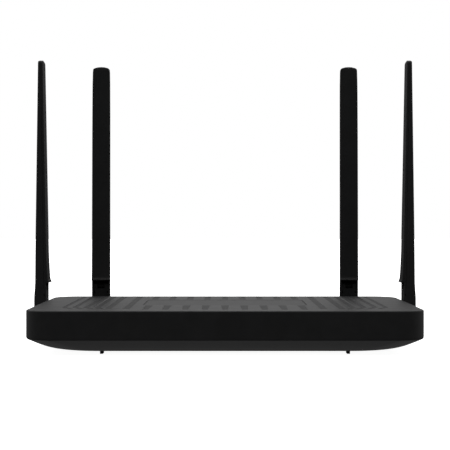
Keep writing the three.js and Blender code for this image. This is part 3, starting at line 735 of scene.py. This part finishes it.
def sockets():
    jack_z = PCB_TOP + 0.15

    def cavity(cx):
        return [
            box(cx - 5.95, cx + 5.95, JACK_Y - 13.5, JACK_Y + 1, jack_z + 4.3, jack_z + 11.6),
            box(cx - 3.1, cx + 3.1, JACK_Y - 11, JACK_Y + 1, jack_z + 2.5, jack_z + 4.5),
            box(cx - 1.7, cx + 1.7, JACK_Y - 11, JACK_Y + 1, jack_z + 1.2, jack_z + 2.7),
        ]

    def springs(centres):
        """Eight bent contact wires to a socket, hanging from the front of its roof."""
        verts, faces = [], []
        roof = jack_z + 11.6
        line = spline(
            [
                (JACK_Y - 1.1, roof - 0.1),
                (JACK_Y - 1.5, roof - 0.42),
                (JACK_Y - 3.5, roof - 1.15),
                (JACK_Y - 8.2, roof - 3.1),
                (JACK_Y - 10.2, roof - 3.55),
                (JACK_Y - 12.6, roof - 3.3),
            ],
            3,
        )
        for cx in centres:
            for k in range(8):
                x = cx + (k - 3.5) * 1.02
                base = len(verts)
                for j, (y, z) in enumerate(line):
                    y0, z0 = line[max(j - 1, 0)]
                    y1, z1 = line[min(j + 1, len(line) - 1)]
                    dy, dz = y1 - y0, z1 - z0
                    length = math.hypot(dy, dz)
                    ny, nz = -dz / length * 0.14, dy / length * 0.14
                    for sx, sn in ((-0.2, -1), (0.2, -1), (0.2, 1), (-0.2, 1)):
                        verts.append((x + sx, y + ny * sn, z + nz * sn))
                for j in range(len(line) - 1):
                    for q in range(4):
                        a, b = base + j * 4 + q, base + j * 4 + (q + 1) % 4
                        faces.append((a, b, b + 4, a + 4))
                faces.append((base + 3, base + 2, base + 1, base))
                e = base + (len(line) - 1) * 4
                faces.append((e, e + 1, e + 2, e + 3))
        return soften(mesh_of(verts, faces), 0.04, 1, 40)

    me = combine(
        box(WAN_X - 7.6, WAN_X + 7.6, JACK_Y - JACK_D, JACK_Y, jack_z, jack_z + JACK_H), ("cut", *cavity(WAN_X))
    )
    piece("wan_socket_block", soften(me, 0.15, 2, 35), JACK, "housing", ["wan_jack"])
    centres = [LAN_X + (i - 1.5) * LAN_PITCH for i in range(4)]
    cuts = [c for cx in centres for c in cavity(cx)]
    me = combine(box(LAN_X - 28.6, LAN_X + 28.6, JACK_Y - JACK_D, JACK_Y, jack_z, jack_z + JACK_H), ("cut", *cuts))
    piece("lan_socket_block", soften(me, 0.15, 2, 35), JACK, "housing", ["lan_jack_bank"])
    piece("wan_socket_contacts", springs([WAN_X]), GOLD, "housing")
    piece("lan_socket_contacts", springs(centres), GOLD, "housing")

    dc_z = PCB_TOP + 6.5
    me = combine(
        box(DC_X - 4.6, DC_X + 4.6, JACK_Y - 13.5, JACK_Y, jack_z, PCB_TOP + 11.2),
        ("join", rod("y", 4.2, JACK_Y - 1, REAR_Y - 0.3, DC_X, dc_z, 48)),
        ("cut", rod("y", 3.2, JACK_Y - 9.5, REAR_Y + 1, DC_X, dc_z, 48)),
    )
    piece("power_socket_block", soften(me, 0.18, 2, 35), JACK, "housing", ["power_jack"])
    pin = turned([(0, 0), (1.0, 0), (1.0, 8.9), (0.85, 9.25), (0.5, 9.45), (0, 9.5)], 32)
    pin.transform(Matrix(((1, 0, 0, DC_X), (0, 0, 1, JACK_Y - 9.7), (0, -1, 0, dc_z), (0, 0, 0, 1))))
    piece("power_socket_pin", soften(pin, 0, 1), STEEL, "housing")


def buttons():
    def cap(r, y0, y1, cx, stem, dish):
        profile = [(0, 0), (r, 0), (r, y1 - y0 - 0.42)]
        for k in range(1, 7):
            a = k / 6 * math.pi / 2
            profile.append((r - 0.42 + 0.42 * math.cos(a), y1 - y0 - 0.42 + 0.42 * math.sin(a)))
        for k in range(1, 7):
            q = 1 - k / 6
            profile.append(((r - 0.42) * 0.86 * q + (0.0 if k == 6 else 0), y1 - y0 - dish * (1 - q * q)))
        me = turned(profile, 48)
        me.transform(Matrix(((1, 0, 0, cx), (0, 0, 1, y0), (0, -1, 0, BUTTON_Z), (0, 0, 0, 1))))
        return combine(me, ("join", box(cx - 1.3, cx + 1.3, stem, y0 + 0.4, BUTTON_Z - 1.3, BUTTON_Z + 1.3)))

    me = cap(3.2, REAR_Y - 3.4, REAR_Y + 1.3, POWER_X, JACK_Y - 11, 0.28)
    piece("power_button_cap", soften(me, 0.08, 1, 45), BUTTON, "power_button", ["power_button"])
    me = cap(2.4, REAR_Y - 3.2, REAR_Y + 0.7, WPS_X, JACK_Y - 10, 0.2)
    piece("wps_button_cap", soften(me, 0.08, 1, 45), BUTTON, "wps_button", ["wps_button"])


# ---------------------------------------------------------------- antennas, x across, y out of the wall, z up
def back_v(z):
    return 10.22 - (z - 59) * 0.01427


def front_v(z):
    return 2.45 + (z - 58.8) * 0.01925


def seam_v(z):
    return 4.2 + (z - COVER_Z) * 0.01433


WIDTH = [
    (12, 6.45), (36, 6.45), (40, 6.49), (115, 6.49), (127, 6.47), (144.5, 6.44), (161.7, 6.38), (179, 6.28),
    (187.6, 6.08), (189.6, 5.95), (190.2, 5.7), (190.6, 5.35), (191.05, 4.6), (191.4, 3.3), (191.7, 2), (ANT_TOP, 0),
]


def blade_prism():
    right = [(x, z) for z, x in WIDTH]
    left = [(-x, z) for x, z in reversed(right[:-1])]
    return prism_y(right + left, 0, 14)


def shell_ring(z, front, back, r):
    h = 6.15
    ring = [(-6.49, front, z), (6.49, front, z)]
    for k in range(9):
        a = k / 8 * math.pi / 2
        ring.append((h - r + r * math.cos(a), back - r + r * math.sin(a), z))
    for k in range(9):
        a = math.pi / 2 + k / 8 * math.pi / 2
        ring.append((-h + r + r * math.cos(a), back - r + r * math.sin(a), z))
    return ring


def back_shell():
    lower = loft(
        [
            shell_ring(*p)
            for p in spline(
                [
                    (PIVOT_Z, CHEEK_V, PIN_V + EAR_R, 0.4),
                    (23.5, CHEEK_V, ANT_BACK, 1),
                    (28.6, CHEEK_V, ANT_BACK, 1.3),
                    (33, CHEEK_V, 10.7, 1.4),
                    (COVER_Z - 0.3, CHEEK_V, 10.4, 1.4),
                ],
                3,
            )
        ]
    )
    upper = loft(
        [
            shell_ring(z, seam_v(z), v, r)
            for z, v, r in (
                (35, 10.56, 1.4),
                (COVER_Z - 0.3, 10.4, 1.4),
                (41, 10.36, 1.4),
                (45, 10.33, 1.4),
                (52, 10.28, 1.4),
                (59, back_v(59), 1.4),
                (92, back_v(92), 1.35),
                (125, back_v(125), 1.3),
                (157, back_v(157), 1.15),
                (189.4, back_v(189.4), 1),
                (190.3, back_v(190.3) - 0.09, 0.95),
                (190.9, back_v(190.9) - 0.25, 0.9),
                (191.4, back_v(191.4) - 0.5, 0.8),
                (191.9, back_v(191.9) - 0.8, 0.7),
            )
        ]
    )
    hollow = [
        (0, 24),
        (9.3, 24),
        (9.3, 30),
        (8.9, 38),
        (back_v(59) - 1.25, 59),
        (back_v(187) - 1.2, 187),
        (back_v(188.4) - 1.25, 188.4),
        (seam_v(188.4) - 1, 188.4),
        (seam_v(COVER_Z) - 1, COVER_Z - 0.3),
        (0, COVER_Z - 0.3),
    ]
    me = combine(
        lower,
        ("join", upper, rod("x", EAR_R, -6.45, 6.45, PIN_V, PIVOT_Z, 56)),
        ("keep", blade_prism()),
        (
            "cut",
            prism_x(hollow, -5.15, 5.15),
            box(-2.7, 2.7, 1, 12, 12.5, 22.7),
            rod("z", 1.0, 22, 27, 0, PIN_V, 20),
            rod("x", 1.5, -8, 8, PIN_V, PIVOT_Z, 32),
            rod("x", 0.45, 4.9, 8, CHEEK_V + 1.0, 29.8, 20),
            rod("x", 0.45, -8, -4.9, CHEEK_V + 1.0, 29.8, 20),
        ),
    )
    return soften(me, 0.12, 2, 32)


def cover_ring(z, front, back, e=1.0):
    return [
        (-7, back, z),
        (-7, front + 0.6 * e, z),
        (-6.35, front + 0.15 * e, z),
        (-6.1, front + 0.05 * e, z),
        (-5.8, front, z),
        (5.8, front, z),
        (6.1, front + 0.05 * e, z),
        (6.35, front + 0.15 * e, z),
        (7, front + 0.6 * e, z),
        (7, back, z),
    ]


def front_cover():
    gap = 0.08
    lip = spline(
        [
            (COVER_Z, 0.75),
            (COVER_Z + 0.25, 0.55),
            (38.95, 0.58),
            (39.5, 0.92),
            (40.2, 1.24),
            (41.0, 1.42),
            (42.4, 1.55),
            (46.2, 1.84),
            (51.5, 2.12),
            (58.8, front_v(58.8)),
        ],
        3,
    )
    rings = [cover_ring(z, v, seam_v(z) - gap) for z, v in lip]
    for z in (75, 92, 110, 125, 140, 157, 173, 189.6):
        rings.append(cover_ring(z, front_v(z), seam_v(z) - gap))
    rings.append(cover_ring(190.3, front_v(190.3) + 0.05, seam_v(190.3) - gap, 0.95))
    rings.append(cover_ring(190.8, front_v(190.8) + 0.15, seam_v(190.8) - gap, 0.8))
    rings.append(cover_ring(191.4, front_v(191.4) + 0.35, seam_v(191.4) - gap, 0.6))
    rings.append(cover_ring(ANT_TOP + 0.2, front_v(ANT_TOP) + 0.6, seam_v(ANT_TOP) - gap, 0.4))
    web = box(-2.2, 2.2, 3.4, 5.2, COVER_Z, COVER_Z + 0.6)
    tab = box(-2.2, 2.2, 4.6, 5.2, 33.6, COVER_Z + 0.3)
    me = combine(loft(rings), ("keep", blade_prism()), ("join", web, tab))
    return soften(me, 0.1, 2, 32)


def neck_cover():
    me = combine(
        box(-4.95, 4.95, CHEEK_V + 0.15, CHEEK_V + 1.35, 24.15, 35.8),
        (
            "cut",
            box(-2.5, 2.5, 2, 6, 32.6, 37),
            rod("y", 0.75, 2, 6, -4.95, 29.8, 24),
            rod("y", 0.75, 2, 6, 4.95, 29.8, 24),
        ),
    )
    return soften(me, 0.12, 2, 35)


def knuckle():
    profile = [
        (0, -5.5), (3.5, -5.5), (3.75, -5.2), (3.75, -3.3), (3.0, -3.3), (3.0, -2.35), (3.75, -2.35), (3.75, 0.15),
        (5.75, 0.15), (5.75, 1.95), (5.66, 2.14), (5.5, 2.25), (5.3, 2.3), (0, 2.3),
    ]
    body = turned(profile, 56)
    # the profile's axis points out of the wall
    body.transform(Matrix(((1, 0, 0, 0), (0, 0, 1, 0), (0, -1, 0, PIVOT_Z), (0, 0, 0, 1))))
    tongue = [(2.0, PIVOT_Z - 3.6)]
    for i in range(25):
        a = -math.pi / 2 + i / 24 * math.pi
        tongue.append((PIN_V + 3.6 * math.cos(a), PIVOT_Z + 3.6 * math.sin(a)))
    tongue.append((2.0, PIVOT_Z + 3.6))
    me = combine(
        body,
        ("join", prism_x(tongue, -2.4, 2.4)),
        (
            "cut",
            rod("y", 1.1, -6, 4.6, 0, PIVOT_Z, 20),
            box(-1.0, 1.0, 3.2, 4.8, PIVOT_Z, PIVOT_Z + 4),
            rod("x", 1.5, -8, 8, PIN_V, PIVOT_Z, 32),
        ),
    )
    return soften(me, 0.1, 2, 35)


def fold_pin():
    me = turned([(0, -5.7), (1.0, -5.7), (1.2, -5.5), (1.2, 5.5), (1.0, 5.7), (0, 5.7)], 32)
    me.transform(Matrix(((0, 0, 1, 0), (1, 0, 0, PIN_V), (0, 1, 0, PIVOT_Z), (0, 0, 0, 1))))
    return soften(me, 0, 1)


def radiator():
    """A strip element on a thin board, fed by a black coaxial lead."""
    strip = soften(box(-3.2, 3.2, 6.45, 6.95, 52, 165), 0.06, 1, 40)
    lead = rod("z", 0.6, 27.5, 53.5, 0, 6.7, 24)
    me = bpy.data.meshes.new("made")
    bm = bmesh.new()
    bm.from_mesh(strip)
    for f in bm.faces:
        f.material_index = 0
    count = len(bm.faces)
    bm.from_mesh(lead)
    bm.faces.ensure_lookup_table()
    for f in bm.faces[count:]:
        f.material_index = 1
        f.smooth = len(f.verts) == 4
    bm.to_mesh(me)
    bm.free()
    return me


def antennas():
    parts = [
        ("radiator", radiator(), [COPPER, CHIP], "blade", "radiator_copper", "_element"),
        ("knuckle", knuckle(), HOUSING, "swivel", "housing_black", "_knuckle"),
        ("fold_pin", fold_pin(), STEEL, "swivel", "screw_steel", "_pin"),
        ("back_shell", back_shell(), ANTENNA, "blade", "antenna_black", "_blade_back"),
        ("front_cover", front_cover(), ANTENNA, "blade", "antenna_black", "_blade_front"),
        ("neck_cover", neck_cover(), ANTENNA, "blade", "antenna_black", "_blade_neck"),
    ]
    for name, x, y, turn in (
        ("rear_left", -REAR_ANT_X, REAR_Y, 0),
        ("rear_right", REAR_ANT_X, REAR_Y, 0),
        ("side_left", -SIDE_ANT_X, FRONT_Y + SIDE_ANT_D, math.pi / 2),
        ("side_right", SIDE_ANT_X, FRONT_Y + SIDE_ANT_D, -math.pi / 2),
    ):
        place = Matrix.Translation((x, y, 0)) @ Matrix.Rotation(turn, 4, "Z")
        for node, me, material, body, slot, suffix in parts:
            piece(
                name + suffix + "_surface", me, material, f"{name}_{body}", [f"{name}_{node}"], place
            )


# ---------------------------------------------------------------- camera, floor and light
SKY = (-0.3, 0.5, 0.18, 0.2)  # even light, from this sine of elevation to that one, and its strengths
RAMP = (0.035, 0.38)  # sines of elevation between which the lights behind fade in
NARROW = 18  # cosine power of the main light's fall to the sides
LOBES = [  # azimuth, elevation, cosine power, strength, whether it fades in above the table
    (0, -81.8, 5.64, 0.791, False),  # returned by the table
    (50, 42, 10, 1.23, True),
    (-50, 42, 10, 1.23, True),
    (180, 80, 14, 4.5, False),  # overhead
    (75, 26.0, 2.9, 0.35, False),  # fill from the sides
    (-75, 26.0, 2.9, 0.35, False),
]
MAIN = (0, 40.4, 6.6, 1.625)  # the main light, high behind


def studio_world():
    """A white surround. The light on the part is a few broad soft sources, the main one high behind it."""
    world = bpy.data.worlds.new("studio")
    scene.world = world
    world.use_nodes = True
    t = world.node_tree
    t.nodes.clear()
    out = t.nodes.new("ShaderNodeOutputWorld")
    direction = t.nodes.new("ShaderNodeTexCoord").outputs["Generated"]
    axes = t.nodes.new("ShaderNodeSeparateXYZ")
    link(t, direction, axes.inputs["Vector"])

    def calc(kind, a, b):
        n = t.nodes.new("ShaderNodeMath")
        n.operation = kind
        for i, v in enumerate((a, b)):
            if isinstance(v, (int, float)):
                n.inputs[i].default_value = v
            else:
                link(t, v, n.inputs[i])
        return n.outputs[0]

    def toward(azimuth, elevation, power):
        """1 straight at the direction, falling as a power of the cosine."""
        a, e = math.radians(azimuth), math.radians(elevation)
        n = t.nodes.new("ShaderNodeVectorMath")
        n.operation = "DOT_PRODUCT"
        n.inputs[1].default_value = (math.sin(a) * math.cos(e), math.cos(a) * math.cos(e), math.sin(e))
        link(t, direction, n.inputs[0])
        return calc("POWER", calc("MAXIMUM", n.outputs["Value"], 0.0), power)

    x, y, z = axes.outputs
    total = spread(t, z, *SKY)
    fade = spread(t, z, *RAMP, 0.0, 1.0)
    for azimuth, elevation, power, strength, fades in LOBES:
        lobe = calc("MULTIPLY", toward(azimuth, elevation, power), strength)
        if fades:
            lobe = calc("MULTIPLY", lobe, fade)
        total = calc("ADD", total, lobe)
    flat = calc("SQRT", calc("ADD", calc("MULTIPLY", x, x), calc("MULTIPLY", y, y)), 0.0)
    behind = calc("MAXIMUM", calc("DIVIDE", y, calc("MAXIMUM", flat, 0.001)), 0.0)
    lobe = calc("MULTIPLY", toward(*MAIN[:3]), MAIN[3])
    lobe = calc("MULTIPLY", lobe, calc("MULTIPLY", fade, calc("POWER", behind, NARROW)))
    total = calc("ADD", total, lobe)
    part_light = t.nodes.new("ShaderNodeBackground")
    part_light.inputs["Color"].default_value = (0.8, 0.8, 0.8, 1)
    link(t, total, part_light.inputs["Strength"])
    seen = t.nodes.new("ShaderNodeBackground")
    seen.inputs["Color"].default_value = (1, 1, 1, 1)
    seen.inputs["Strength"].default_value = 1.0
    path = t.nodes.new("ShaderNodeLightPath")
    mix = t.nodes.new("ShaderNodeMixShader")
    link(t, path.outputs["Is Camera Ray"], mix.inputs["Fac"])
    link(t, part_light.outputs[0], mix.inputs[1])
    link(t, seen.outputs[0], mix.inputs[2])
    link(t, mix.outputs[0], out.inputs["Surface"])


def stage_and_camera():
    floor_mesh = bpy.data.meshes.new("floor")
    r = 6.0
    floor_mesh.from_pydata([(-r, -r, 0), (r, -r, 0), (r, r, 0), (-r, r, 0)], [], [(0, 1, 2, 3)])
    m, t, s = tree_of("floor_pale")
    p = where(t)
    g = noise(t, p, 40, 2.0)
    link(t, tint(t, g, (0.80, 0.80, 0.80), (0.82, 0.82, 0.82)), s.inputs["Base Color"])
    s.inputs["Roughness"].default_value = 0.9
    s.inputs["Specular IOR Level"].default_value = 0.0
    s.inputs["Emission Color"].default_value = (1, 1, 1, 1)
    s.inputs["Emission Strength"].default_value = 0.95
    floor_mesh.materials.append(m)
    floor = bpy.data.objects.new("floor", floor_mesh)
    scene.collection.objects.link(floor)

    floor.visible_diffuse = False
    floor.visible_glossy = False
    studio_world()

    data = bpy.data.cameras.new("camera")
    cam = bpy.data.objects.new("camera", data)
    scene.collection.objects.link(cam)
    cam.location = (0, (FRONT_Y - 660) / 1000, 0.0771)
    cam.rotation_euler = (math.pi / 2, 0, 0)
    data.sensor_width = 36
    data.sensor_fit = "HORIZONTAL"
    data.lens = 89.44
    data.shift_y = 0.0029
    data.clip_start, data.clip_end = 0.01, 50
    data.dof.use_dof = False
    scene.camera = cam
    scene.view_settings.view_transform = "Standard"
    scene.view_settings.look = "None"
    scene.view_settings.exposure = 0
    scene.view_settings.gamma = 1


top_cover()
badge()
bottom_cover()
feet_and_screws()
sockets()
buttons()
antennas()
stage_and_camera()
